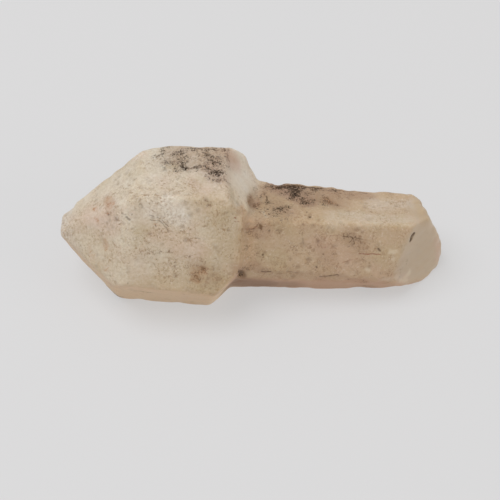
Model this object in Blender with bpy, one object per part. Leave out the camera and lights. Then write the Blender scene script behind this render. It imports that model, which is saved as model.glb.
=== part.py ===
# Sceptre quartz: a stout head, with flat faces all round, that grew over the end of a thinner, older stem.
# It is one crystal. It lies on its side, with its tip to the left and its broken end to the right.
#
# It is modelled in millimetres in its own axes: x runs along the crystal's long axis from the tip to the
# break, z is up and y is away from the viewer. It is then tilted, set on the ground and scaled to metres.

import math
import random

import bmesh
import bpy
import numpy as np
from mathutils import Euler, Matrix, Vector, noise

MM = 0.001
SEED = 11

# How the crystal lies: in degrees, and how high the middle of the head is above the ground
TILT_DOWN_TO_STEM = 3.5
YAW = -1.0
MIDDLE_HEIGHT = 14.9

# A face is (lean, turn, distance). Lean is the angle of its outward direction from the tip's direction:
# 90 on a prism face, less on the point, more on the shoulder. Turn goes round the long axis, 0 up and
# 90 towards the viewer. Distance is from the middle of the head.
HEAD_PRISM = (
    (89.0, 2.0, 13.9),
    (90.0, 59.5, 11.8),
    (87.5, 119.5, 14.9),
    (91.5, 180.0, 14.8),
    (89.0, 240.0, 15.5),
    (88.5, 300.0, 14.6),
)
HEAD_POINT = (
    (48.5, -2.0, 17.6),
    (54.5, 58.0, 17.1),
    (48.0, 120.5, 20.3),
    (52.0, 180.0, 20.7),
    (52.0, 240.0, 21.0),
    (52.0, 300.5, 17.0),
)
HEAD_SHOULDER = (
    (140.0, -1.5, 14.1),
    (108.0, 62.0, 12.7),  # towards the viewer it slopes gently
    (165.0, 62.0, 12.6),  # and ends in a steep lip over the stem
    (136.5, 124.0, 14.4),
    (140.0, 180.0, 15.0),
    (140.0, 240.0, 15.0),
    (140.5, 300.0, 17.2),
)
HEAD_WORN_CORNERS = (
    (8.0, 190.0, 26.6),
    (25.0, 5.0, 23.9),
    (34.0, 130.0, 24.8),
    (70.0, 330.0, 17.9),
    (118.0, 330.0, 18.4),
)
STEM_PRISM = (
    (91.5, -8.5, 6.6),
    (94.5, 63.0, 7.9),
    (92.0, 95.0, 9.5),
    (92.0, 118.0, 10.8),
    (91.5, 180.0, 13.3),
    (90.0, 240.0, 11.0),
    (91.5, 300.0, 10.2),
)
STEM_BREAK = (
    (133.0, 77.0, 33.4),
    (137.0, -43.0, 39.6),
    (144.0, -42.0, 42.8),
    (173.0, 0.0, 52.6),
    (171.0, 112.0, 53.3),
    (125.0, 132.0, 36.0),
    (101.0, 133.0, 18.6),
)
STEM_START = ((0.0, 0.0, 0.0),)

# Growth steps across the top of the stem: (height, where along the axis it ends), with an uneven edge.
# They start at the neck, and rise from nothing at the ridge between the top and the front face.
STEM_STEPS = ((0.25, 29.5), (0.2, 36.0))
STEP_WIDTH = 1.0
STEP_WANDER = 3.0
STEP_WANDER_LENGTH = 6.0
STEPS_START = 12.0
STEPS_START_WIDTH = 2.0
TOP_RIDGE = -3.4
TOP_RIDGE_WIDTH = 3.5
TOP_NORMAL = (0.5, 0.8)

# Hollows that show from a step away: (place, radius, depth)
NECK_HOLLOWS = (
    ((12.4, 0.6, 7.4), 1.9, 1.0),
    ((13.6, -0.6, 6.6), 1.5, 0.5),
    ((9.3, -2.4, 11.2), 2.1, 0.5),
    ((10.9, -3.4, 9.2), 1.5, 0.6),
    ((10.8, -8.6, -4.0), 1.8, 0.8),
)
FACE_HOLLOWS = (
    ((-11.7, -7.5, 10.6), 1.0, 0.3),
    ((-14.7, -7.1, 8.5), 0.9, 0.3),
    ((-16.4, -4.2, 9.2), 1.6, 0.3),
    ((-16.9, -9.1, 2.5), 1.6, 0.25),
    ((2.2, -13.1, 1.0), 2.0, 0.35),
    ((24.2, -1.5, 6.3), 0.9, 0.4),
    ((26.4, -7.7, -2.3), 1.1, 0.4),
    ((33.0, -4.5, 2.9), 2.2, 0.4),
    ((39.0, -4.9, 1.1), 1.2, 0.45),
    ((45.9, -2.3, 2.8), 1.1, 0.4),
)

# The break is a shell-like scoop with ripples round the place that was struck
BREAK_SCOOP = ((49.0, -3.5, -3.0), 7.5, 0.8)
BREAK_STRUCK_AT = (44.0, 0.0, 7.0)
BREAK_RIPPLE_LENGTH = 2.6
BREAK_RIPPLE_HEIGHT = 0.05
BREAK_START = 41.0
BREAK_NORMAL = (0.4, 0.6)

# Small pits all over and chips along the edges: radius and depth from, to
PIT_COUNT = 60
PIT_RADIUS = (0.7, 1.5)
PIT_DEPTH = (0.08, 0.24)
CHIP_SPACING = 4.5
CHIP_RADIUS = (0.9, 2.6)
CHIP_DEPTH = (0.08, 0.35)
SHARP_EDGE = math.radians(15)

# Low waves on every face: (wave length, height)
FACE_WAVES = ((11.0, 0.16), (3.4, 0.07))

# The block that the crystal is cut from, and the size of the small faces that its surface is carved in
BLOCK = 160.0
VOXEL = 0.4
WEAR_PASSES = 2
WEAR_FACTOR = 0.5
WEAR_ALLOWANCE = 0.12
TRIANGLES = 7400

QUARTZ_COLOUR = (0.52, 0.42, 0.31, 1.0)
QUARTZ_ROUGHNESS = 0.55
QUARTZ_IOR = 1.544


def face_direction(lean, turn):
    lean = math.radians(lean)
    turn = math.radians(turn)
    return Vector((-math.cos(lean), -math.sin(lean) * math.sin(turn), math.sin(lean) * math.cos(turn)))


def cut_flat(shape, outward, distance):
    """Takes off what lies beyond a plane and closes the shape with a flat face there."""
    cut = bmesh.ops.bisect_plane(
        shape,
        geom=shape.verts[:] + shape.edges[:] + shape.faces[:],
        plane_co=outward * distance,
        plane_no=outward,
        dist=1e-4,
        clear_outer=True,
    )
    rim = [piece for piece in cut["geom_cut"] if isinstance(piece, bmesh.types.BMEdge)]
    bmesh.ops.holes_fill(shape, edges=rim, sides=0)


def crystal_block(name, faces):
    """A large cube cut down to its flat faces, one plane after another."""
    shape = bmesh.new()
    bmesh.ops.create_cube(shape, size=BLOCK)
    for lean, turn, distance in faces:
        cut_flat(shape, face_direction(lean, turn), distance)
    bmesh.ops.recalc_face_normals(shape, faces=shape.faces)
    mesh = bpy.data.meshes.new(name)
    shape.to_mesh(mesh)
    shape.free()
    block = bpy.data.objects.new(name, mesh)
    bpy.context.scene.collection.objects.link(block)
    return block


def apply_modifiers(shape_object):
    graph = bpy.context.evaluated_depsgraph_get()
    mesh = bpy.data.meshes.new_from_object(shape_object.evaluated_get(graph))
    shape_object.modifiers.clear()
    shape_object.data = mesh


def join(whole, other):
    union = whole.modifiers.new("grown_together", "BOOLEAN")
    union.operation = "UNION"
    union.solver = "EXACT"
    union.object = other
    apply_modifiers(whole)
    bpy.data.objects.remove(other)


def places_on_edges(mesh, draw):
    """Places for chips, drawn along the sharp edges."""
    shape = bmesh.new()
    shape.from_mesh(mesh)
    places = []
    for edge in shape.edges:
        if edge.calc_face_angle(0.0) < SHARP_EDGE:
            continue
        start, end = (corner.co for corner in edge.verts)
        for _ in range(round(edge.calc_length() / CHIP_SPACING)):
            places.append(tuple(start.lerp(end, draw.random())))
    shape.free()
    return places


def soften_edges(shape_object):
    """Even small faces everywhere, and edges worn round."""
    voxels = shape_object.modifiers.new("voxels", "REMESH")
    voxels.mode = "VOXEL"
    voxels.voxel_size = VOXEL
    wear = shape_object.modifiers.new("wear", "SMOOTH")
    wear.factor = WEAR_FACTOR
    wear.iterations = WEAR_PASSES
    apply_modifiers(shape_object)


def smooth_step(start, end, value):
    """From 0 at the start to 1 at the end, without a corner at either."""
    share = np.clip((value - start) / (end - start), 0.0, 1.0)
    return share * share * (3.0 - 2.0 * share)


def hollow(points, place, radius, depth):
    """How far each point sinks in a round hollow."""
    away = np.linalg.norm(points - np.array(place), axis=1)
    return depth * (1.0 - smooth_step(0.0, radius, away))


def waves(points, length, height):
    """Low swells all over, up and down."""
    return np.array([height * noise.noise(Vector(point) / length) for point in points])


def stem_steps(points, normals):
    """The plates that grew on top of the stem, which end one after another towards the break."""
    along = points[:, 0]
    across = points[:, 1]
    on_top = smooth_step(*TOP_NORMAL, normals[:, 2])
    on_top *= smooth_step(STEPS_START, STEPS_START + STEPS_START_WIDTH, along)
    on_top *= smooth_step(TOP_RIDGE, TOP_RIDGE + TOP_RIDGE_WIDTH, across)
    raised = np.zeros(len(points))
    for height, end in STEM_STEPS:
        wander = [noise.noise(Vector((end, y / STEP_WANDER_LENGTH, 0.0))) for y in across]
        edge = end + STEP_WANDER * np.array(wander)
        raised += height * smooth_step(0.0, STEP_WIDTH, edge - along)
    return raised * on_top


def break_ripples(points, normals):
    """The scoop and the ripples, on what faces away from the head beyond the start of the break."""
    on_break = smooth_step(*BREAK_NORMAL, normals[:, 0]) * (points[:, 0] > BREAK_START)
    away = np.linalg.norm(points - np.array(BREAK_STRUCK_AT), axis=1)
    ripples = BREAK_RIPPLE_HEIGHT * np.sin(away * 2.0 * math.pi / BREAK_RIPPLE_LENGTH)
    return on_break * (ripples - hollow(points, *BREAK_SCOOP))


def surface_relief(points, normals, chip_places, draw):
    """How far each point moves outwards."""
    relief = WEAR_ALLOWANCE + stem_steps(points, normals) + break_ripples(points, normals)
    for length, height in FACE_WAVES:
        relief += waves(points, length, height)
    for place, radius, depth in NECK_HOLLOWS + FACE_HOLLOWS:
        relief -= hollow(points, place, radius, depth)
    for index in draw.sample(range(len(points)), PIT_COUNT):
        relief -= hollow(points, points[index], draw.uniform(*PIT_RADIUS), draw.uniform(*PIT_DEPTH))
    for place in chip_places:
        relief -= hollow(points, place, draw.uniform(*CHIP_RADIUS), draw.uniform(*CHIP_DEPTH))
    return relief


def carve_surface(shape_object, chip_places, draw):
    vertices = shape_object.data.vertices
    points = np.empty(len(vertices) * 3)
    normals = np.empty(len(vertices) * 3)
    vertices.foreach_get("co", points)
    vertices.foreach_get("normal", normals)
    points = points.reshape(-1, 3)
    normals = normals.reshape(-1, 3)
    points += normals * surface_relief(points, normals, chip_places, draw)[:, None]
    vertices.foreach_set("co", points.ravel())


def thin_out(shape_object, triangles):
    """Large triangles on the flats and small ones where the surface turns."""
    fewer = shape_object.modifiers.new("fewer_faces", "DECIMATE")
    fewer.ratio = triangles / sum(len(face.vertices) - 2 for face in shape_object.data.polygons)
    apply_modifiers(shape_object)


def stand_on_ground(shape_object):
    """Tilts the crystal, wears flat spots where it meets the ground and sets it over the origin.

    The object keeps its own origin at the middle of the head."""
    mesh = shape_object.data
    mesh.transform(Euler((0.0, math.radians(TILT_DOWN_TO_STEM), math.radians(YAW))).to_matrix().to_4x4())
    shape = bmesh.new()
    shape.from_mesh(mesh)
    cut_flat(shape, Vector((0.0, 0.0, -1.0)), MIDDLE_HEIGHT)
    bmesh.ops.triangulate(shape, faces=shape.faces)
    shape.to_mesh(mesh)
    shape.free()
    corners = [corner.co for corner in mesh.vertices]
    middle = [(min(axis) + max(axis)) / 2 for axis in zip(*corners)]
    mesh.transform(Matrix.Scale(MM, 4))
    shape_object.location = Vector((-middle[0], -middle[1], MIDDLE_HEIGHT)) * MM


def frosted_quartz():
    material = bpy.data.materials.new("quartz")
    material.use_nodes = True
    surface = material.node_tree.nodes["Principled BSDF"]
    surface.inputs["Base Color"].default_value = QUARTZ_COLOUR
    surface.inputs["Roughness"].default_value = QUARTZ_ROUGHNESS
    surface.inputs["Metallic"].default_value = 0.0
    surface.inputs["IOR"].default_value = QUARTZ_IOR
    return material


for old in list(bpy.data.objects):
    bpy.data.objects.remove(old)

draw = random.Random(SEED)
crystal = crystal_block("sceptre_crystal", HEAD_PRISM + HEAD_POINT + HEAD_SHOULDER + HEAD_WORN_CORNERS)
join(crystal, crystal_block("stem", STEM_PRISM + STEM_BREAK + STEM_START))
chip_places = places_on_edges(crystal.data, draw)
soften_edges(crystal)
carve_surface(crystal, chip_places, draw)
thin_out(crystal, TRIANGLES)
stand_on_ground(crystal)
crystal.data.materials.clear()
crystal.data.materials.append(frosted_quartz())
crystal.data.shade_flat()
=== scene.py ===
import math
import random

import bmesh
import bpy
import numpy as np
from mathutils import Euler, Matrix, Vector, noise
from mathutils.bvhtree import BVHTree


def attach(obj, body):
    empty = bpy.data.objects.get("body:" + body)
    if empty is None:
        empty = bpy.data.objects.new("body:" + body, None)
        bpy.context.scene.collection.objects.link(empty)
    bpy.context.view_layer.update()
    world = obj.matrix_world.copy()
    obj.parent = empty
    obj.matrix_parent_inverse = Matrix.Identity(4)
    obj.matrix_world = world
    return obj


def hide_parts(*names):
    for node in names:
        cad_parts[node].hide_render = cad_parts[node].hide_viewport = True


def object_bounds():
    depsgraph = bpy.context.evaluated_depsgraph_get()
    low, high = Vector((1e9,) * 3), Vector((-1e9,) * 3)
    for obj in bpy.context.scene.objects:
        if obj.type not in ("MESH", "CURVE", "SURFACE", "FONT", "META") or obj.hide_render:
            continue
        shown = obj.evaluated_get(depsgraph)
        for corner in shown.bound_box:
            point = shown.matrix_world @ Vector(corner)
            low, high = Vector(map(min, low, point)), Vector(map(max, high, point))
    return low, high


# Sceptre quartz, lying on its side: a frosted, stained crystal whose stout head grew over a thinner stem.
# Lengths are in millimetres here and become metres where they reach Blender.
# Places are given as pixels of the 500 x 500 photograph, and found on the crystal by looking through the camera.

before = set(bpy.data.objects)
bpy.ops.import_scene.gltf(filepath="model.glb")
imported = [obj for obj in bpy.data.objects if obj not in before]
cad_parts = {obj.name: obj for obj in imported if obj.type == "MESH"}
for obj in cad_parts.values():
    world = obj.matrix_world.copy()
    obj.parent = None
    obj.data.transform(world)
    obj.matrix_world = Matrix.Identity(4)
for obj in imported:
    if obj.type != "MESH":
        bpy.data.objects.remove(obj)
cadBox = [list(corner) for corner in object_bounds()]
mm = 0.001
print("stage 1: packed crystal loaded")


# How the crystal lies, as its solid has it. Its own x axis runs from the tip to the break.
lie = {
    "headMiddle": (-13.46, -0.97, 14.9),
    "tiltDown": 3.5,  # degrees, towards the stem
    "yaw": -1.0,
}

camera = {
    "picture": 500,  # pixels across
    "elevation": 48.0,  # degrees above the horizon
    "distance": 300.0,  # from the middle of the head
    "width": 104.0,  # what the picture takes in at that distance
    "headPixel": (190, 225),
    "sensor": 36.0,
}


def smoothStep(start, end, value):
    share = np.clip((value - start) / (end - start), 0.0, 1.0)
    return share * share * (3.0 - 2.0 * share)


def cameraAxes():
    lean = math.radians(camera["elevation"])
    right = Vector((1, 0, 0))
    up = Vector((0, math.sin(lean), math.cos(lean)))
    forward = Vector((0, math.cos(lean), -math.sin(lean)))
    return right, up, forward


def cameraPlace():
    right, up, forward = cameraAxes()
    pixel = camera["width"] / camera["picture"]
    half = camera["picture"] / 2
    aside = (half - camera["headPixel"][0]) * pixel
    above = (camera["headPixel"][1] - half) * pixel
    return Vector(lie["headMiddle"]) + right * aside + up * above - forward * camera["distance"]


def makeCamera():
    right, up, forward = cameraAxes()
    data = bpy.data.cameras.new("photoCamera")
    data.sensor_width = camera["sensor"]
    data.lens = camera["sensor"] * camera["distance"] / camera["width"]
    data.clip_start = 0.01
    data.clip_end = 10.0
    holder = bpy.data.objects.new("photoCamera", data)
    holder.location = cameraPlace() * mm
    holder.rotation_mode = "QUATERNION"
    holder.rotation_quaternion = forward.to_track_quat("-Z", "Y")
    bpy.context.scene.collection.objects.link(holder)
    bpy.context.scene.camera = holder


# The crystal's surface
skin = {
    "voxel": 0.31,
    "easing": 7,  # smoothing passes after the remesh
    "swell": 0.05,  # makes up for what the smoothing takes off
    "ripple": ((5.0, 0.05), (2.2, 0.045), (1.1, 0.04)),  # wave length, height
    "etchPits": 900,
    "etchRadius": (0.35, 0.85),
    "etchDepth": (0.03, 0.13),
    "striaeLength": 1.6,  # fine growth lines across the prism faces
    "striaeHeight": 0.022,
    "hiddenPatches": 9,  # of stains, on the sides that the photograph doesn't show
    "patchRadius": 5.0,
    "patchStrokes": 7,
    "seed": 5,
}

# Marks on the surface: (pixels along it, width in mm, strength). A single pixel is a spot.
blackMarks = (
    (((174, 147), (175, 153)), 0.7, 0.6),
    (((169, 150), (171, 157)), 0.8, 0.5),
    (((174, 157), (176, 163), (176, 170)), 0.9, 0.5),
    (((184, 149), (202, 149)), 1.0, 0.75),
    (((202, 149), (224, 150)), 1.0, 0.7),
    (((168, 152), (178, 156)), 1.5, 0.42),
    (((179, 150), (180, 156), (178, 161)), 0.8, 0.9),
    (((180, 152), (185, 153)), 0.8, 0.7),
    (((160, 159), (171, 161)), 0.9, 0.72),
    (((154, 163), (159, 164)), 0.6, 0.6),
    (((162, 163), (177, 170)), 2.2, 0.36),
    (((164, 158), (184, 165)), 3.2, 0.52),
    (((168, 149), (182, 158)), 2.8, 0.52),
    (((190, 150), (224, 153)), 2.2, 0.32),
    (((188, 162), (206, 160)), 2.6, 0.26),
    (((182, 164), (184, 166)), 0.8, 0.9),
    (((186, 168), (189, 167)), 1.1, 1.0),
    (((192, 167), (199, 167)), 0.9, 0.95),
    (((175, 169), (177, 171)), 0.8, 0.9),
    (((181, 157), (186, 162)), 1.2, 0.55),
    (((203, 150), (226, 152)), 1.3, 0.45),
    (((213, 156), (214, 165)), 1.1, 0.8),
    (((216, 160), (222, 163)), 1.1, 0.8),
    (((206, 157), (223, 164)), 3.2, 0.56),
    (((208, 151), (226, 156)), 2.4, 0.5),
    (((204, 166), (223, 170)), 2.4, 0.4),
    (((203, 167), (208, 169)), 1.1, 0.75),
    (((211, 172), (219, 174)), 1.3, 1.0),
    (((212, 179), (218, 180), (223, 178)), 0.9, 0.8),
    (((209, 175), (222, 178)), 1.7, 0.45),
    (((198, 166), (206, 173)), 1.6, 0.4),
    (((272, 187), (284, 186), (302, 187)), 1.2, 1.0),
    (((302, 188), (334, 190)), 1.1, 0.65),
    (((272, 188), (290, 196)), 3.0, 0.62),
    (((280, 187), (304, 198)), 4.6, 0.62),
    (((292, 187), (295, 195)), 2.4, 1.0),
    (((274, 187), (284, 187)), 1.6, 0.8),
    (((276, 192), (282, 196)), 1.4, 0.6),
    (((292, 197), (307, 201)), 2.0, 0.78),
    (((298, 189), (306, 195)), 1.6, 0.55),
    (((304, 194), (326, 203)), 3.0, 0.46),
    (((312, 199), (317, 200)), 1.2, 0.75),
    (((265, 197), (266, 200)), 0.9, 0.7),
    (((262, 196), (268, 201)), 1.7, 0.4),
    (((271, 207), (272, 208)), 0.8, 0.6),
    (((270, 205), (286, 211)), 2.6, 0.55),
    (((278, 206), (282, 208)), 1.3, 0.8),
    (((261, 209), (281, 219)), 3.2, 0.42),
    (((256, 194), (270, 205)), 3.0, 0.36),
    (((306, 199), (330, 204)), 2.6, 0.4),
    (((238, 270), (240, 275)), 1.1, 0.95),
    (((239, 268), (242, 269)), 0.9, 0.5),
)
brownMarks = (
    (((250, 198), (251, 203)), 1.3, 1.0),
    (((249, 202), (256, 205)), 1.3, 0.75),
    (((247, 197), (248, 204)), 0.8, 0.7),
    (((262, 188), (265, 194)), 0.8, 0.65),
    (((268, 187), (271, 188)), 0.6, 0.7),
    (((257, 224), (260, 227)), 1.0, 1.0),
    (((240, 230), (250, 229), (257, 225)), 0.8, 0.7),
    (((250, 231), (256, 236)), 1.5, 0.6),
    (((246, 240), (268, 264)), 3.4, 0.3),
    (((240, 250), (246, 268)), 1.4, 0.25),
    (((323, 199), (334, 204)), 1.9, 0.62),
    (((334, 193), (354, 194)), 1.2, 0.62),
    (((354, 193), (368, 194)), 0.9, 0.4),
    (((330, 195), (352, 197)), 2.0, 0.42),
    (((352, 196), (372, 197)), 1.5, 0.3),
    (((300, 190), (330, 196)), 2.6, 0.35),
    (((346, 236), (360, 246)), 2.3, 0.5),
    (((318, 247), (326, 258)), 1.8, 0.4),
    (((310, 262), (320, 268)), 1.6, 0.42),
    (((262, 270), (300, 273)), 1.2, 0.4),
    (((322, 276), (345, 274)), 1.1, 0.5),
    (((347, 277), (361, 281)), 1.5, 0.45),
    (((378, 274), (387, 274)), 0.7, 0.55),
    (((244, 267), (252, 266)), 1.1, 0.75),
    (((250, 222), (292, 262)), 7.0, 0.24),
    (((300, 230), (330, 268)), 6.0, 0.2),
    (((352, 262), (400, 270)), 5.0, 0.22),
    (((256, 272), (258, 273)), 0.6, 0.6),
    (((273, 272), (275, 274)), 0.6, 0.6),
    (((106, 281), (128, 285)), 1.3, 0.4),
    (((130, 289), (150, 292)), 1.2, 0.5),
    (((199, 266), (202, 272)), 1.2, 0.85),
    (((193, 275), (198, 278)), 0.9, 0.95),
    (((201, 258), (204, 264)), 1.0, 0.55),
    (((131, 178), (133, 180)), 0.7, 0.5),
    (((184, 203), (209, 202)), 1.6, 0.4),
    (((140, 202), (143, 208)), 0.8, 0.4),
    (((150, 255), (200, 268)), 4.0, 0.36),
    (((158, 262), (186, 276)), 3.0, 0.3),
    (((214, 262), (218, 284)), 2.0, 0.3),
)
rustMarks = (
    (((107, 200), (111, 205)), 1.5, 0.75),
    (((108, 214),), 0.5, 1.0),
    (((93, 208), (96, 210)), 0.6, 0.7),
    (((95, 218), (97, 220)), 0.8, 0.8),
    (((104, 239), (106, 247)), 1.1, 0.75),
    (((90, 246), (91, 258)), 1.0, 0.5),
    (((94, 258), (106, 268)), 1.6, 0.3),
    (((194, 272), (202, 268)), 1.7, 0.6),
    (((192, 277), (197, 280)), 0.9, 0.7),
    (((154, 224), (157, 225)), 0.5, 0.6),
    (((216, 278), (222, 281)), 1.0, 0.35),
    (((324, 200), (333, 202)), 1.3, 0.4),
    (((228, 157), (234, 162)), 1.1, 0.3),
)
hazeMarks = (
    (((186, 152), (226, 156)), 5.0, 0.42),
    (((184, 158), (196, 164)), 3.0, 0.4),
    (((204, 164), (224, 172)), 3.6, 0.36),
    (((212, 174), (222, 180)), 2.4, 0.4),
    (((170, 152), (184, 158)), 2.6, 0.4),
    (((276, 186), (306, 198)), 4.0, 1.0),
    (((306, 190), (336, 200)), 4.0, 0.7),
    (((332, 193), (368, 195)), 2.8, 0.7),
    (((262, 196), (286, 210)), 3.6, 0.5),
    (((249, 199), (253, 204)), 2.1, 1.0),
    (((248, 224), (262, 230)), 2.6, 0.6),
    (((238, 268), (262, 271)), 2.2, 0.8),
    (((262, 272), (340, 276)), 1.8, 0.4),
    (((302, 200), (304, 230)), 1.4, 0.25),
    (((348, 238), (360, 246)), 3.4, 0.4),
    (((320, 246), (328, 262)), 3.0, 0.4),
    (((105, 200), (112, 206)), 2.0, 0.5),
    (((194, 264), (206, 280)), 2.6, 0.4),
)
pinkMarks = (
    (((182, 246), (196, 250)), 4.0, 0.5),
    (((90, 215), (112, 222)), 4.0, 0.6),
    (((160, 234), (176, 240)), 4.0, 0.4),
    (((196, 185), (206, 190)), 3.4, 0.5),
    (((228, 156), (238, 166)), 3.0, 0.7),
    (((434, 242), (437, 262)), 1.8, 0.6),
    (((318, 240), (345, 262)), 4.0, 0.5),
    (((376, 268), (400, 280)), 3.0, 0.4),
)
# Dirt with painted shade under the stem beside the head, where the stem's underside lies in shadow
shadeAndGrimeMarks = (
    (((237, 282), (262, 283)), 6.0, 1.0),
    (((262, 283), (288, 284)), 5.0, 0.6),
    (((225, 288), (234, 282)), 1.6, 0.8),
    (((214, 293), (222, 289)), 1.4, 0.4),
)
# Tan patches, with painted shade on the steep facet at the broken end
tanAndShadeMarks = (
    (((214, 214), (226, 240), (222, 272)), 6.0, 0.9),
    (((226, 205), (236, 215)), 3.0, 0.6),
    (((140, 286), (212, 288)), 5.0, 0.9),
    (((262, 200), (300, 206), (334, 203)), 4.5, 0.8),
    (((262, 214), (300, 216), (330, 212)), 4.0, 0.5),
    (((96, 240), (120, 262)), 4.0, 0.3),
    # painted shade on the steep facet at the top of the broken end
    (((418, 206), (421, 213)), 3.0, 0.9),
)
freshMarks = (
    (((417, 204), (421, 214), (419, 226)), 3.2, 1.0),
)
# Painted light along the crease where the stem leaves the head, lifting the shade that falls there
neckMarks = (
    (((243, 214), (246, 236), (244, 262)), 3.0, 1.0),
)
milkMarks = (
    (((100, 192), (150, 162)), 5.0, 0.3),
    (((160, 178), (212, 184)), 5.0, 0.35),
    (((150, 206), (176, 214)), 4.4, 0.8),
    (((166, 202), (182, 218)), 4.0, 1.0),
    (((90, 216), (130, 208), (160, 196)), 4.0, 0.4),
    (((236, 156), (246, 172)), 3.0, 0.5),
    (((335, 218), (400, 219)), 3.0, 0.4),
    (((372, 204), (402, 206)), 3.0, 0.4),
    (((238, 176), (250, 190)), 2.6, 0.4),
    (((421, 207), (429, 226)), 2.0, 0.15),
)
brightMarks = (
    (((233, 191), (235, 199)), 0.7, 0.9),
    (((243, 202), (247, 210)), 0.8, 1.0),
    (((250, 180), (251, 187)), 0.6, 0.5),
    (((389, 250), (394, 251)), 0.75, 0.75),
    (((392, 256), (393, 258)), 0.7, 0.6),
    (((403, 278), (408, 273)), 1.0, 0.8),
    (((399, 280), (406, 279)), 0.8, 0.6),
    (((384, 279), (395, 277)), 1.3, 0.5),
    (((366, 269), (368, 270)), 0.8, 0.7),
    (((357, 223), (359, 226)), 0.7, 0.6),
    (((267, 257), (269, 258)), 0.5, 0.9),
    (((263, 212), (265, 216)), 0.5, 0.6),
)

# Lines and specks too fine for the mesh, drawn by the material: (pixels, width in mm, strength)
darkLines = (
    (((184, 149), (192, 148), (202, 149)), 0.3, 0.6),
    (((204, 149), (216, 150), (224, 150)), 0.3, 0.6),
    (((224, 151), (232, 155)), 0.24, 0.4),
    (((189, 168), (198, 167)), 0.16, 0.7),
    (((276, 187), (288, 185), (318, 188)), 0.34, 0.9),
    (((318, 188), (345, 191), (366, 193)), 0.26, 0.6),
    (((261, 271), (270, 271)), 0.3, 0.7),
    (((286, 271), (297, 272)), 0.16, 0.4),
    (((320, 276), (338, 274)), 0.24, 0.6),
    (((413, 233), (410, 240)), 0.55, 0.95),
    (((343, 236), (352, 237), (354, 243)), 0.16, 0.75),
    (((349, 242), (355, 236)), 0.15, 0.6),
    (((355, 237), (362, 238)), 0.14, 0.6),
    (((347, 246), (353, 244)), 0.14, 0.5),
    (((309, 216),), 0.44, 1.0),
    (((306, 212),), 0.3, 0.6),
    (((378, 248), (379, 250)), 0.34, 0.6),
    (((369, 198),), 0.3, 0.6),
    (((302, 238), (303, 243)), 0.2, 0.25),
    (((262, 254),), 0.38, 0.8),
    (((269, 230),), 0.34, 0.55),
    (((316, 266),), 0.34, 0.7),
    (((323, 253),), 0.3, 0.6),
    (((266, 196), (267, 200)), 0.3, 0.8),
    (((122, 213), (125, 214)), 0.3, 0.4),
    (((126, 216), (129, 219)), 0.34, 0.5),
    (((149, 215), (157, 216), (163, 221), (168, 226)), 0.15, 0.5),
    (((150, 219), (159, 220), (166, 227), (168, 232)), 0.15, 0.45),
    (((180, 230), (188, 233), (195, 238), (205, 238)), 0.15, 0.4),
    (((140, 203), (142, 207)), 0.3, 0.25),
    (((155, 225),), 0.26, 0.6),
    (((108, 214),), 0.36, 0.6),
    (((116, 219),), 0.3, 0.3),
    (((132, 214),), 0.28, 0.5),
)
redLines = (
    (((234, 218), (242, 217)), 0.18, 0.95),
    (((234, 221), (239, 221)), 0.16, 0.7),
    (((238, 229), (247, 229), (256, 226)), 0.3, 0.35),
    (((358, 253), (381, 254)), 0.18, 0.8),
    (((330, 235), (337, 235)), 0.2, 0.6),
    (((321, 247), (325, 247)), 0.2, 0.5),
    (((342, 262), (356, 258)), 0.2, 0.4),
)

# Grooves and pits that show: (first pixel, last pixel, width in mm, depth in mm)
grooves = (
    ((413, 233), (410, 240), 0.45, 0.28),
    ((148, 215), (158, 218), 0.35, 0.07),
    ((158, 218), (165, 224), 0.35, 0.07),
    ((165, 224), (169, 232), 0.35, 0.06),
    ((153, 213), (164, 217), 0.35, 0.06),
    ((126, 216), (130, 219), 0.4, 0.06),
    ((347, 236), (351, 237), 0.35, 0.12),
    ((351, 237), (352, 243), 0.35, 0.12),
    ((354, 233), (355, 240), 0.35, 0.12),
    ((355, 240), (360, 241), 0.35, 0.1),
    ((350, 244), (354, 247), 0.35, 0.1),
    ((359, 253), (381, 254), 0.3, 0.07),
    ((262, 271), (270, 271), 0.4, 0.06),
    ((328, 276), (336, 274), 0.45, 0.06),
    ((234, 218), (242, 217), 0.3, 0.06),
    ((309, 216), (309, 217), 0.5, 0.15),
    ((378, 249), (379, 250), 0.5, 0.1),
    ((107, 213), (109, 214), 0.6, 0.12),
    ((116, 219), (117, 219), 0.8, 0.1),
    ((302, 238), (303, 243), 0.5, 0.04),
    ((317, 241), (318, 242), 0.7, 0.15),
    ((240, 272), (242, 275), 1.2, 0.35),
)

# Corners that stand out further than the solid's: (first pixel, last pixel, width in mm, height in mm)
corners = (
    ((170, 150), (232, 153), 3.0, 0.25),
    ((231, 152), (236, 155), 3.0, 0.7),
    ((237, 155), (241, 158), 3.0, 0.8),
    ((384, 195), (410, 198), 2.6, 0.45),
    ((410, 198), (416, 202), 2.2, 0.75),
    ((414, 199), (416, 201), 1.8, 1.0),
    ((417, 206), (421, 210), 1.8, 0.5),
)


def startSurface(node, name):
    mesh = node.data.copy()
    shape = bmesh.new()
    shape.from_mesh(mesh)
    bmesh.ops.remove_doubles(shape, verts=shape.verts, dist=1e-6)
    shape.to_mesh(mesh)
    shape.free()
    mesh.materials.clear()
    piece = bpy.data.objects.new(name, mesh)
    bpy.context.scene.collection.objects.link(piece)
    voxels = piece.modifiers.new("voxels", "REMESH")
    voxels.mode = "VOXEL"
    voxels.voxel_size = skin["voxel"] * mm
    easing = piece.modifiers.new("easing", "SMOOTH")
    easing.factor = 0.5
    easing.iterations = skin["easing"]
    graph = bpy.context.evaluated_depsgraph_get()
    made = bpy.data.meshes.new_from_object(piece.evaluated_get(graph))
    piece.modifiers.clear()
    piece.data = made
    made.name = name
    return piece


def readVectors(mesh, attribute):
    values = np.empty(len(mesh.vertices) * 3)
    mesh.vertices.foreach_get(attribute, values)
    return values.reshape(-1, 3)


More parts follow.
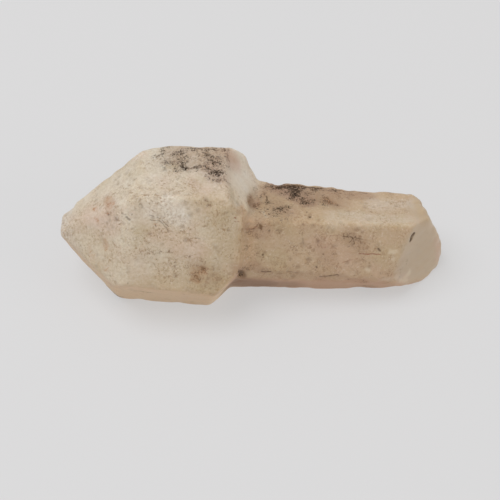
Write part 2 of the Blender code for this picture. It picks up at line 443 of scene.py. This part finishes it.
def crystalAxes(points):
    turn = Euler((0.0, math.radians(lie["tiltDown"]), math.radians(lie["yaw"]))).to_matrix()
    return (points - np.array(lie["headMiddle"])) @ np.array(turn)


def waves(points, length, offset=0.0):
    shift = Vector((offset, 0.0, 0.0))
    return np.array([noise.noise(Vector(point) / length + shift) for point in points])


def wander(points, length, amount):
    moved = np.array([noise.noise_vector(Vector(point) / length) for point in points])
    return points + moved * amount


def strokeDistance(points, start, end):
    along = end - start
    length = float(along @ along)
    share = np.zeros(len(points))
    if length > 1e-9:
        share = np.clip((points - start) @ along / length, 0.0, 1.0)
    return np.linalg.norm(points - start - share[:, None] * along, axis=1)


def photoPixels(points):
    # where the camera sees each point in the photograph
    right, up, forward = cameraAxes()
    off = points - np.array(cameraPlace())
    deep = off @ np.array(forward)
    pixel = camera["width"] / camera["picture"] * deep / camera["distance"]
    half = camera["picture"] / 2
    return np.stack((off @ np.array(right) / pixel + half, half - off @ np.array(up) / pixel), axis=1)


def besideLine(pixels, start, end, width):
    # 1 on the right of a line that runs down the picture, 0 on its left, with a soft edge
    along = np.array(end, float) - np.array(start, float)
    along /= np.linalg.norm(along)
    off = pixels - np.array(start)
    return smoothStep(-width, width, off[:, 0] * along[1] - off[:, 1] * along[0])


def surfaceFinder(mesh):
    corners = [corner.co for corner in mesh.vertices]
    tree = BVHTree.FromPolygons(corners, [face.vertices for face in mesh.polygons])
    right, up, forward = cameraAxes()
    eye = cameraPlace()
    half = camera["picture"] / 2
    pixel = camera["width"] / camera["picture"]

    def find(place):
        across = (place[0] + 0.5 - half) * pixel
        down = (place[1] + 0.5 - half) * pixel
        ray = (forward * camera["distance"] + right * across - up * down).normalized()
        hit = tree.ray_cast(eye * mm, ray)[0]
        if hit is None:
            print("no surface under pixel", place)
            return None
        return np.array(hit) / mm

    return find


def segments(find, marks):
    # every stretch of every mark: its two ends on the crystal, its width and its strength
    for pixels, width, strength in marks:
        places = [find(pixel) for pixel in pixels]
        for start, end in zip(places, places[1:] or places):
            if start is not None and end is not None:
                yield start, end, width, strength


def paintMarks(points, find, marks):
    mask = np.zeros(len(points))
    for start, end, width, strength in segments(find, marks):
        away = strokeDistance(points, start, end)
        mask = np.maximum(mask, strength * (1.0 - smoothStep(0.25 * width, width, away)))
    return mask


def spread(mesh, values, rounds):
    # softens a mask along the surface
    ends = np.empty(len(mesh.edges) * 2, dtype=np.int32)
    mesh.edges.foreach_get("vertices", ends)
    first, last = ends.reshape(-1, 2).T
    count = np.bincount(first, minlength=len(values)) + np.bincount(last, minlength=len(values))
    for _ in range(rounds):
        total = np.bincount(first, values[last], len(values)) + np.bincount(last, values[first], len(values))
        values = (values + total) / (count + 1)
    return values


def hiddenMarks(points, hidden, draw, widths, strengths):
    # the sides that the photograph doesn't show are stained in patches as well
    mask = np.zeros(len(points))
    for _ in range(skin["hiddenPatches"]):
        middle = points[hidden[draw.randrange(len(hidden))]]
        near = hidden[np.linalg.norm(points[hidden] - middle, axis=1) < skin["patchRadius"]]
        for _ in range(skin["patchStrokes"]):
            start = points[near[draw.randrange(len(near))]]
            end = start + np.array([draw.gauss(0.0, 1.5) for _ in range(3)])
            width = draw.uniform(*widths)
            stroke = draw.uniform(*strengths) * (1.0 - smoothStep(0.25 * width, width, strokeDistance(points, start, end)))
            mask = np.maximum(mask, stroke)
    return mask


def strokeHeights(points, find, strokes):
    heights = np.zeros(len(points))
    for first, last, width, height in strokes:
        start = find(first)
        end = find(last)
        if start is None or end is None:
            continue
        away = strokeDistance(points, start, end)
        heights = np.maximum(heights, height * (1.0 - smoothStep(0.0, width, away)))
    return heights


def etchPits(points, draw):
    sink = np.zeros(len(points))
    for _ in range(skin["etchPits"]):
        middle = points[draw.randrange(len(points))]
        radius = draw.uniform(*skin["etchRadius"])
        depth = draw.uniform(*skin["etchDepth"])
        near = np.flatnonzero(np.abs(points[:, 0] - middle[0]) < radius)
        away = np.linalg.norm(points[near] - middle, axis=1)
        sink[near] = np.maximum(sink[near], depth * (1.0 - smoothStep(0.2 * radius, radius, away)))
    return sink


def addMask(mesh, name, values):
    attribute = mesh.attributes.new(name, "FLOAT", "POINT")
    attribute.data.foreach_set("value", values.astype(np.float32))


def makeCrystal():
    draw = random.Random(skin["seed"])
    noise.seed_set(skin["seed"])  # the marks wander in the same way on every run
    piece = startSurface(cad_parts["sceptre_crystal"], "sceptreQuartz")
    mesh = piece.data
    print("stage 2: surface of", len(mesh.polygons), "faces")
    points = readVectors(mesh, "co") / mm
    normals = readVectors(mesh, "normal")
    own = crystalAxes(points)
    ownNormals = normals @ np.array(
        Euler((0.0, math.radians(lie["tiltDown"]), math.radians(lie["yaw"]))).to_matrix()
    )
    find = surfaceFinder(mesh)

    # regions, from 0 to 1
    pixels = photoPixels(points)
    toCamera = -normals @ np.array(cameraAxes()[2])
    along = own[:, 0]
    facesEnd = ownNormals[:, 0]
    onStem = smoothStep(10.0, 11.0, along) * (1.0 - smoothStep(0.35, 0.55, facesEnd))
    onStem = np.maximum(onStem, smoothStep(13.5, 14.5, along))
    onBreak = smoothStep(0.3, 0.62, facesEnd) * smoothStep(37.0, 41.0, along)
    frontal = 1.0 - besideLine(pixels, (223, 176), (249, 214), 2.0)  # left of and below the pale shoulder
    onShoulder = smoothStep(0.35, 0.6, facesEnd) * (1.0 - onStem) * (1.0 - frontal * smoothStep(0.0, 0.2, toCamera))
    onShoulder *= (1.0 - onBreak) * (1.0 - smoothStep(0.85, 0.93, facesEnd))
    onShoulder *= smoothStep(-0.2, -0.1, ownNormals[:, 1])
    towardsViewer = 1.0 - smoothStep(-0.2, -0.1, ownNormals[:, 1])
    onLip = smoothStep(0.42, 0.52, facesEnd) * towardsViewer * (along > 8.5) * (along < 16.0)
    onLip = np.maximum(onLip, smoothStep(0.85, 0.93, facesEnd) * (along < 16.0))
    onStem = np.maximum(onStem, onLip)
    # faces turned down: smoother, and coloured below with painted warm shade
    low = smoothStep(0.02, 0.3, -normals[:, 2]) * (1.0 - onBreak)
    nearTip = 1.0 - smoothStep(-27.0, -20.0, along + 0.3 * own[:, 2])
    onBreak = np.maximum(spread(mesh, onBreak, 24), paintMarks(points, find, freshMarks))
    onShoulder = spread(mesh, onShoulder, 50)
    onStem = spread(mesh, onStem, 24)
    # the painted shade is fainter on downward faces towards the back
    low = spread(mesh, low, 12) * (1.0 - 0.4 * smoothStep(-0.2, 0.3, ownNormals[:, 1]))  # paler behind
    calm = np.clip(onBreak + 0.7 * onShoulder + 0.7 * low, 0.0, 1.0)  # smoother than the rest

    # relief, outwards
    relief = np.full(len(points), skin["swell"])
    for length, height in skin["ripple"]:
        relief += height * waves(own, length, length) * (1.0 - 0.65 * calm)
    onPrism = 1.0 - smoothStep(0.1, 0.35, np.abs(ownNormals[:, 0]))
    lines = waves(own * np.array((1.0, 0.08, 0.08)), skin["striaeLength"] / 2)
    relief += skin["striaeHeight"] * lines * onPrism
    pits = etchPits(points, draw) * (1.0 - 0.8 * calm)
    grooved = strokeHeights(points, find, grooves)
    relief += strokeHeights(points, find, corners) - pits - grooved
    moved = points + normals * relief[:, None]
    moved = np.clip(moved, np.array(cadBox[0]) / mm, np.array(cadBox[1]) / mm)
    mesh.vertices.foreach_set("co", (moved * mm).ravel())
    mesh.update()
    print("stage 3: relief carved")

    hidden = np.flatnonzero(toCamera < -0.05)
    warped = wander(wander(points, 2.6, 0.5), 0.8, 0.25)
    looser = wander(warped, 1.6, 0.5)
    black = paintMarks(warped, find, blackMarks)
    black = np.maximum(black, hiddenMarks(looser, hidden, draw, (0.7, 3.4), (0.15, 0.75)))
    brown = paintMarks(looser, find, brownMarks)
    brown = np.maximum(brown, hiddenMarks(looser, hidden, draw, (0.8, 3.4), (0.2, 0.7)))
    rust = paintMarks(warped, find, rustMarks)
    rust = np.maximum(rust, hiddenMarks(looser, hidden, draw, (0.5, 1.6), (0.2, 0.8)))
    addMask(mesh, "onStem", onStem)
    addMask(mesh, "onBreak", onBreak)
    addMask(mesh, "onShoulder", onShoulder)
    addMask(mesh, "nearTip", nearTip)
    addMask(mesh, "low", low)
    addMask(mesh, "hollow", np.clip((pits + grooved) / 0.2, 0.0, 1.0))
    addMask(mesh, "black", black)
    addMask(mesh, "smudge", spread(mesh, black, 14))
    # dirt with painted shade, on the faces turned down under the stem
    addMask(mesh, "shadeAndGrime", paintMarks(wander(points, 2.0, 0.5), find, shadeAndGrimeMarks) * smoothStep(0.0, 0.6, low))
    addMask(mesh, "tanAndShade", paintMarks(wander(points, 5.0, 2.0), find, tanAndShadeMarks))
    addMask(mesh, "brown", brown)
    addMask(mesh, "rust", rust)
    addMask(mesh, "haze", paintMarks(wander(points, 4.0, 1.2), find, hazeMarks))
    addMask(mesh, "pink", paintMarks(wander(points, 5.0, 2.0), find, pinkMarks))
    # painted light along the crease at the neck
    addMask(mesh, "neck", paintMarks(points, find, neckMarks))
    addMask(mesh, "milk", paintMarks(wander(points, 6.0, 2.0), find, milkMarks))
    addMask(mesh, "bright", paintMarks(warped, find, brightMarks))
    mesh.shade_smooth()
    print("stage 4: marks placed")
    return piece, find


# The quartz: colours are on-screen values from 0 to 255
quartz = {
    "cream": (219, 207, 187),
    "clouded": (208, 187, 159),
    "blush": (208, 180, 162),
    "olive": (188, 170, 136),
    "pink": (206, 170, 154),
    # tan patches, also used as painted shade at the broken end
    "tanAndShade": (178, 152, 114),
    "grain": (174, 146, 108),
    "sparkle": (228, 218, 202),
    "pore": (132, 92, 48),
    "stem": (194, 167, 138),
    "shoulder": (222, 208, 190),
    # painted warm shade for faces turned down, under the head and under the stem
    "shadedUnderHead": (212, 180, 146),
    "shadedUnderStem": (186, 146, 120),
    "tip": (210, 200, 188),
    "fresh": (194, 174, 150),
    "milk": (232, 224, 212),
    "bright": (225, 212, 188),
    "rust": (172, 112, 62),
    "redLine": (134, 66, 40),
    "haze": (164, 130, 108),
    # dirt with painted shade, under the stem beside the head
    "shadeAndGrime": (128, 98, 76),
    # painted light for the crease at the neck
    "neck": (216, 186, 154),
    "brown": (98, 66, 40),
    "brownHaze": (132, 99, 66),
    "smudge": (92, 68, 48),
    "black": (50, 34, 20),
    "blackHaze": (128, 98, 80),
    "line": (78, 52, 27),
    "dirt": (112, 82, 54),
    "roughness": 0.6,
    "freshRoughness": 0.42,
    "ior": 1.544,
    "specular": 0.3,
    "specularTint": (1.0, 0.9, 0.78, 1.0),
    "subsurface": 0.6,
    "glowDepth": (3.2, 2.7, 2.2),  # mm that red, green and blue light travels inside
}


def screenColour(name):
    def linear(value):
        share = value / 255
        return share / 12.92 if share <= 0.04045 else ((share + 0.055) / 1.055) ** 2.4

    return tuple(linear(value) for value in quartz[name]) + (1.0,)


def startGroup(name, inputs, outputs):
    group = bpy.data.node_groups.new(name, "ShaderNodeTree")
    for label, kind, value in inputs:
        socket = group.interface.new_socket(label, in_out="INPUT", socket_type="NodeSocket" + kind)
        if value is not None:
            socket.default_value = value
    for label, kind in outputs:
        group.interface.new_socket(label, in_out="OUTPUT", socket_type="NodeSocket" + kind)
    return group, group.nodes.new("NodeGroupInput"), group.nodes.new("NodeGroupOutput")


def join(tree, source, target):
    tree.links.new(source, target)


def mathNode(tree, operation, first, second=None, third=None, clamp=False):
    node = tree.nodes.new("ShaderNodeMath")
    node.operation = operation
    node.use_clamp = clamp
    for socket, value in zip(node.inputs, (first, second, third)):
        if value is None:
            continue
        if isinstance(value, (int, float)):
            socket.default_value = value
        else:
            join(tree, value, socket)
    return node.outputs[0]


def mapNode(tree, value, low, high, newLow=0.0, newHigh=1.0, smooth=True):
    node = tree.nodes.new("ShaderNodeMapRange")
    node.interpolation_type = "SMOOTHSTEP" if smooth else "LINEAR"
    join(tree, value, node.inputs["Value"])
    for label, number in (("From Min", low), ("From Max", high), ("To Min", newLow), ("To Max", newHigh)):
        if isinstance(number, (int, float)):
            node.inputs[label].default_value = number
        else:
            join(tree, number, node.inputs[label])
    return node.outputs["Result"]


def noiseNode(tree, vector, size, detail=2.0, roughness=0.5):
    node = tree.nodes.new("ShaderNodeTexNoise")
    join(tree, vector, node.inputs["Vector"])
    if isinstance(size, (int, float)):
        node.inputs["Scale"].default_value = 1.0 / size
    else:
        join(tree, mathNode(tree, "DIVIDE", 1.0, size), node.inputs["Scale"])
    node.inputs["Detail"].default_value = detail
    node.inputs["Roughness"].default_value = roughness
    return node.outputs["Fac"]


def cellNode(tree, vector, size, output="Distance"):
    node = tree.nodes.new("ShaderNodeTexVoronoi")
    join(tree, vector, node.inputs["Vector"])
    if isinstance(size, (int, float)):
        node.inputs["Scale"].default_value = 1.0 / size
    else:
        join(tree, mathNode(tree, "DIVIDE", 1.0, size), node.inputs["Scale"])
    return node.outputs[output]


def vectorNode(tree, operation, *values):
    node = tree.nodes.new("ShaderNodeVectorMath")
    node.operation = operation
    for socket, value in zip(node.inputs, values):
        if isinstance(value, tuple):
            socket.default_value = value
        else:
            join(tree, value, socket)
    return node


def shifted(tree, vector, distance):
    return vectorNode(tree, "ADD", vector, (distance, distance, -distance)).outputs[0]


def blend(tree, factor, under, over, kind="MIX"):
    node = tree.nodes.new("ShaderNodeMix")
    node.data_type = "RGBA"
    node.blend_type = kind
    for socket, value in ((node.inputs[0], factor), (node.inputs[6], under), (node.inputs[7], over)):
        if isinstance(value, (int, float, tuple)):
            socket.default_value = value
        else:
            join(tree, value, socket)
    return node.outputs[2]


def stoneScaleGroup():
    # the place on the stone in millimetres, gently warped so that no pattern looks even
    group, start, end = startGroup("placeOnStone", (), (("Place", "Vector"),))
    coordinates = group.nodes.new("ShaderNodeTexCoord")
    toMillimetres = group.nodes.new("ShaderNodeVectorMath")
    toMillimetres.operation = "SCALE"
    toMillimetres.inputs["Scale"].default_value = 1.0 / mm
    join(group, coordinates.outputs["Object"], toMillimetres.inputs[0])
    join(group, toMillimetres.outputs[0], end.inputs["Place"])
    return group


def speckleGroup():
    # breaks a soft mask up into dots and fine threads: the denser the mask, the more of them
    inputs = (("Place", "Vector", None), ("Density", "Float", 0.0), ("Grain", "Float", 0.5), ("Edge", "Float", 0.08))
    group, start, end = startGroup("speckledMark", inputs, (("Mask", "Float"),))
    density = start.outputs["Density"]
    grains = noiseNode(group, start.outputs["Place"], start.outputs["Grain"], 2.0, 0.6)
    clumps = noiseNode(group, start.outputs["Place"], 1.7, 2.0, 0.5)
    mixed = mathNode(group, "MULTIPLY_ADD", clumps, 0.3, mathNode(group, "MULTIPLY", grains, 0.7))
    reach = mathNode(group, "MULTIPLY_ADD", density, -0.23, 0.64)
    dots = mapNode(group, mixed, reach, mathNode(group, "ADD", reach, start.outputs["Edge"]))
    coarse = mathNode(group, "MULTIPLY", start.outputs["Grain"], 3.6)
    web = noiseNode(group, shifted(group, start.outputs["Place"], 5.0), coarse, 2.0, 0.6)
    offMiddle = mathNode(group, "ABSOLUTE", mathNode(group, "SUBTRACT", web, 0.5))
    width = mathNode(group, "MULTIPLY_ADD", density, 0.03, 0.012)
    threads = mapNode(group, offMiddle, 0.0, width, 1.0, 0.0)
    here = mapNode(group, mathNode(group, "MULTIPLY_ADD", density, 0.4, clumps), 0.6, 0.78, 0.0, 0.8)
    mask = mathNode(group, "MAXIMUM", dots, mathNode(group, "MULTIPLY", threads, here))
    present = mapNode(group, density, 0.02, 0.15)
    join(group, mathNode(group, "MULTIPLY", mask, present), end.inputs["Mask"])
    return group


def strokeGroup():
    # a thin line from one place on the stone to another, added to the lines before it
    inputs = (
        ("Before", "Float", 0.0),
        ("Place", "Vector", None),
        ("Start", "Vector", None),
        ("End", "Vector", None),
        ("Width", "Float", 0.2),
        ("Strength", "Float", 1.0),
    )
    group, start, end = startGroup("thinLine", inputs, (("Mask", "Float"),))
    offStart = vectorNode(group, "SUBTRACT", start.outputs["Place"], start.outputs["Start"]).outputs[0]
    along = vectorNode(group, "SUBTRACT", start.outputs["End"], start.outputs["Start"]).outputs[0]
    reached = vectorNode(group, "DOT_PRODUCT", offStart, along).outputs["Value"]
    length = vectorNode(group, "DOT_PRODUCT", along, along).outputs["Value"]
    share = mathNode(group, "DIVIDE", reached, length, clamp=True)
    nearest = vectorNode(group, "SCALE", along)
    join(group, share, nearest.inputs["Scale"])
    away = vectorNode(group, "DISTANCE", offStart, nearest.outputs[0]).outputs["Value"]
    inner = mathNode(group, "MULTIPLY", start.outputs["Width"], 0.3)
    line = mapNode(group, away, inner, start.outputs["Width"], 1.0, 0.0)
    line = mathNode(group, "MULTIPLY", line, start.outputs["Strength"])
    join(group, mathNode(group, "MAXIMUM", line, start.outputs["Before"]), end.inputs["Mask"])
    return group


def etchGroup():
    # the fine frosted grain of an etched face: a height and a shade
    inputs = (("Place", "Vector", None), ("Size", "Float", 0.7))
    group, start, end = startGroup("etchedFace", inputs, (("Height", "Float"), ("Shade", "Float")))
    fine = noiseNode(group, start.outputs["Place"], start.outputs["Size"], 3.0, 0.65)
    cells = cellNode(group, start.outputs["Place"], start.outputs["Size"])
    height = mathNode(group, "MULTIPLY_ADD", cells, 0.6, fine)
    join(group, height, end.inputs["Height"])
    join(group, mapNode(group, fine, 0.33, 0.67, 0.0, 1.0, False), end.inputs["Shade"])
    return group


def placeGroup(tree, group, **values):
    node = tree.nodes.new("ShaderNodeGroup")
    node.node_tree = group
    for label, value in values.items():
        if isinstance(value, (int, float, tuple)):
            node.inputs[label].default_value = value
        else:
            join(tree, value, node.inputs[label])
    return node


def maskNode(tree, name):
    node = tree.nodes.new("ShaderNodeAttribute")
    node.attribute_name = name
    return node.outputs["Fac"]


def tinted(tree, colour, mask, share, name):
    return blend(tree, mathNode(tree, "MULTIPLY", mask, share), colour, screenColour(name))


def drawLines(tree, group, place, find, marks):
    drawn = 0.0
    for start, end, width, strength in segments(find, marks):
        ends = {"Start": tuple(start), "End": tuple(end)}
        line = placeGroup(tree, group, Before=drawn, Place=place, Width=width, Strength=strength, **ends)
        drawn = line.outputs["Mask"]
    return drawn


def makeQuartz(find):
    material = bpy.data.materials.new("frostedQuartz")
    material.use_nodes = True
    tree = material.node_tree
    surface = tree.nodes["Principled BSDF"]
    place = placeGroup(tree, stoneScaleGroup()).outputs["Place"]
    speckle = speckleGroup()
    etch = placeGroup(tree, etchGroup(), Place=place, Size=0.5)
    masks = {name: maskNode(tree, name) for name in (
        "onStem", "onBreak", "onShoulder", "nearTip", "low", "hollow", "haze", "pink",
        "black", "smudge", "brown", "rust", "milk", "tanAndShade", "bright", "shadeAndGrime", "neck",
    )}

    # body colour: cream head, warmer stem, clouds of both
    clouds = mapNode(tree, noiseNode(tree, place, 9.0, 3.0, 0.55), 0.35, 0.68, 0.0, 0.5)
    colour = blend(tree, clouds, screenColour("cream"), screenColour("clouded"))
    blush = mapNode(tree, noiseNode(tree, shifted(tree, place, 31.0), 7.0, 2.0, 0.5), 0.5, 0.68, 0.0, 0.3)
    colour = blend(tree, blush, colour, screenColour("blush"))
    colour = tinted(tree, colour, masks["onStem"], 0.85, "stem")
    olive = mapNode(tree, noiseNode(tree, shifted(tree, place, 53.0), 8.0, 2.0, 0.5), 0.48, 0.66, 0.0, 0.45)
    colour = blend(tree, olive, colour, screenColour("olive"))
    colour = tinted(tree, colour, masks["onShoulder"], 0.6, "shoulder")
    colour = tinted(tree, colour, masks["nearTip"], 0.7, "tip")
    colour = tinted(tree, colour, masks["onBreak"], 1.0, "fresh")
    colour = tinted(tree, colour, masks["milk"], 0.7, "milk")
    colour = tinted(tree, colour, masks["pink"], 0.55, "pink")
    # tan patches, with painted shade on the steep facet at the broken end
    colour = tinted(tree, colour, masks["tanAndShade"], 0.4, "tanAndShade")
    # painted light along the crease at the neck, against the shade there
    colour = tinted(tree, colour, masks["neck"], 0.8, "neck")
    # faces turned down get painted warm shade, darker than the faces above
    shadedUnderColour = blend(tree, masks["onStem"], screenColour("shadedUnderHead"), screenColour("shadedUnderStem"))
    colour = blend(tree, mathNode(tree, "MULTIPLY", masks["low"], 0.85), colour, shadedUnderColour)

    # fine grain of the etched faces, fainter where they are smooth
    calm = mathNode(tree, "MULTIPLY_ADD", masks["onShoulder"], 0.6, masks["onBreak"], clamp=True)
    calm = mathNode(tree, "MULTIPLY_ADD", masks["low"], 0.75, calm, clamp=True)
    rough = mathNode(tree, "SUBTRACT", 1.0, calm)
    colour = tinted(tree, colour, mathNode(tree, "MULTIPLY", etch.outputs["Shade"], rough), 0.42, "grain")
    sparkle = mapNode(tree, noiseNode(tree, shifted(tree, place, 17.0), 0.5, 2.0, 0.6), 0.57, 0.75)
    colour = tinted(tree, colour, mathNode(tree, "MULTIPLY", sparkle, rough), 0.3, "sparkle")
    patchy = mapNode(tree, noiseNode(tree, place, 4.5, 2.0, 0.5), 0.38, 0.62)
    patchy = mathNode(tree, "MULTIPLY", patchy, rough)
    for size, low, high, share in ((0.42, 0.55, 0.68, 0.38), (0.7, 0.57, 0.68, 0.4), (1.3, 0.60, 0.72, 0.26)):
        freckles = mapNode(tree, noiseNode(tree, shifted(tree, place, 40.0 * size), size, 2.0, 0.6), low, high)
        colour = tinted(tree, colour, mathNode(tree, "MULTIPLY", freckles, patchy), share, "pore")
    veins = noiseNode(tree, shifted(tree, place, 71.0), 2.0, 3.0, 0.6)
    veins = mathNode(tree, "ABSOLUTE", mathNode(tree, "SUBTRACT", veins, 0.5))
    veins = mathNode(tree, "MULTIPLY", mapNode(tree, veins, 0.0, 0.02, 1.0, 0.0), patchy)
    colour = tinted(tree, colour, veins, 0.22, "pore")
    colour = tinted(tree, colour, masks["hollow"], 0.45, "dirt")

    # stains: dirt with painted shade under the stem beside the head, a brownish tint, iron, then the black ones over
    # them
    colour = tinted(tree, colour, masks["shadeAndGrime"], 0.75, "shadeAndGrime")
    colour = tinted(tree, colour, masks["haze"], 0.5, "haze")
    rust = placeGroup(tree, speckle, Place=place, Density=masks["rust"], Grain=0.9, Edge=0.2).outputs["Mask"]
    colour = tinted(tree, colour, mathNode(tree, "MULTIPLY", masks["rust"], 0.3), 1.0, "rust")
    colour = tinted(tree, colour, rust, 0.6, "rust")
    brown = placeGroup(tree, speckle, Place=place, Density=masks["brown"], Grain=0.5, Edge=0.2).outputs["Mask"]
    colour = tinted(tree, colour, mathNode(tree, "MULTIPLY", masks["brown"], 0.3), 1.0, "brownHaze")
    colour = tinted(tree, colour, brown, 0.75, "brown")
    colour = tinted(tree, colour, masks["smudge"], 0.4, "blackHaze")
    smudged = mathNode(tree, "MULTIPLY", masks["smudge"], 1.15)
    soft = placeGroup(tree, speckle, Place=place, Density=smudged, Grain=0.6, Edge=0.24).outputs["Mask"]
    colour = tinted(tree, colour, soft, 0.6, "smudge")
    black = placeGroup(tree, speckle, Place=place, Density=masks["black"], Grain=0.36, Edge=0.15).outputs["Mask"]
    colour = tinted(tree, colour, black, 1.0, "black")

    # lines, with a slight wobble
    wobble = tree.nodes.new("ShaderNodeTexNoise")
    wobble.inputs["Scale"].default_value = 1.0 / 1.3
    join(tree, place, wobble.inputs["Vector"])
    offset = vectorNode(tree, "SUBTRACT", wobble.outputs["Color"], (0.5, 0.5, 0.5)).outputs[0]
    wobbly = vectorNode(tree, "MULTIPLY_ADD", offset, (0.7, 0.7, 0.7), place).outputs[0]
    thinLine = strokeGroup()
    colour = tinted(tree, colour, drawLines(tree, thinLine, wobbly, find, redLines), 0.8, "redLine")
    colour = tinted(tree, colour, drawLines(tree, thinLine, wobbly, find, darkLines), 0.9, "line")
    colour = tinted(tree, colour, masks["bright"], 0.5, "bright")
    join(tree, colour, surface.inputs["Base Color"])

    shine = mapNode(tree, masks["onBreak"], 0.0, 1.0, quartz["roughness"], quartz["freshRoughness"])
    stained = mathNode(tree, "MULTIPLY_ADD", black, 0.15, shine)
    join(tree, stained, surface.inputs["Roughness"])
    surface.inputs["IOR"].default_value = quartz["ior"]
    surface.inputs["Specular IOR Level"].default_value = quartz["specular"]
    surface.inputs["Specular Tint"].default_value = quartz["specularTint"]
    surface.inputs["Subsurface Weight"].default_value = quartz["subsurface"]
    surface.inputs["Subsurface Scale"].default_value = mm
    surface.inputs["Subsurface Radius"].default_value = quartz["glowDepth"]

    bump = tree.nodes.new("ShaderNodeBump")
    bump.inputs["Distance"].default_value = 0.06 * mm
    join(tree, mathNode(tree, "MULTIPLY", etch.outputs["Height"], rough), bump.inputs["Height"])
    join(tree, bump.outputs["Normal"], surface.inputs["Normal"])
    return material


studio = {
    "floor": (0.265, 0.255, 0.25),
    "floorGlow": 0.445,  # the paper is lit through from below, so the shadow on it is faint
    "floorSize": 4000.0,
    "sky": 0.50,
    "keyPower": 6.7,  # watts
    "keyColour": (0.94, 0.99, 1.07),
    "keyPlace": (-430.0, -70.0, 1020.0),
    "keySize": 800.0,
    "fillPower": 1.7,
    "fillColour": (1.0, 0.99, 0.96),
    "fillPlace": (860.0, -420.0, 360.0),
    "fillSize": 600.0,
}


def makeFloor():
    size = studio["floorSize"] * mm / 2
    mesh = bpy.data.meshes.new("paperFloor")
    corners = [(-size, -size, 0.0), (size, -size, 0.0), (size, size, 0.0), (-size, size, 0.0)]
    mesh.from_pydata(corners, [], [(0, 1, 2, 3)])
    floor = bpy.data.objects.new("paperFloor", mesh)
    bpy.context.scene.collection.objects.link(floor)
    material = bpy.data.materials.new("paperFloor")
    material.use_nodes = True
    paper = material.node_tree.nodes["Principled BSDF"]
    paper.inputs["Base Color"].default_value = (*studio["floor"], 1.0)
    paper.inputs["Emission Color"].default_value = (1.0, 1.0, 1.0, 1.0)
    paper.inputs["Emission Strength"].default_value = studio["floorGlow"]
    paper.inputs["Roughness"].default_value = 0.9
    paper.inputs["Specular IOR Level"].default_value = 0.1
    mesh.materials.append(material)


def softLight(name, place, size, power, colour):
    data = bpy.data.lights.new(name, "AREA")
    data.shape = "DISK"
    data.size = size * mm
    data.energy = power
    data.color = colour
    light = bpy.data.objects.new(name, data)
    light.location = Vector(place) * mm
    light.rotation_mode = "QUATERNION"
    light.rotation_quaternion = (-light.location).to_track_quat("-Z", "Y")
    bpy.context.scene.collection.objects.link(light)


def makeStudio():
    world = bpy.data.worlds.new("softRoom")
    world.use_nodes = True
    sky = world.node_tree.nodes["Background"]
    sky.inputs["Color"].default_value = (1.0, 1.0, 1.0, 1.0)
    sky.inputs["Strength"].default_value = studio["sky"]
    bpy.context.scene.world = world
    softLight("keyLight", studio["keyPlace"], studio["keySize"], studio["keyPower"], studio["keyColour"])
    softLight("fillLight", studio["fillPlace"], studio["fillSize"], studio["fillPower"], studio["fillColour"])
    bpy.context.scene.view_settings.view_transform = "Standard"


makeCamera()
crystal, findPlace = makeCrystal()
crystal.data.materials.append(makeQuartz(findPlace))
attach(crystal, "root")
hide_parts("sceptre_crystal")
makeFloor()
makeStudio()
print("stage 5: finish, floor and lights made")
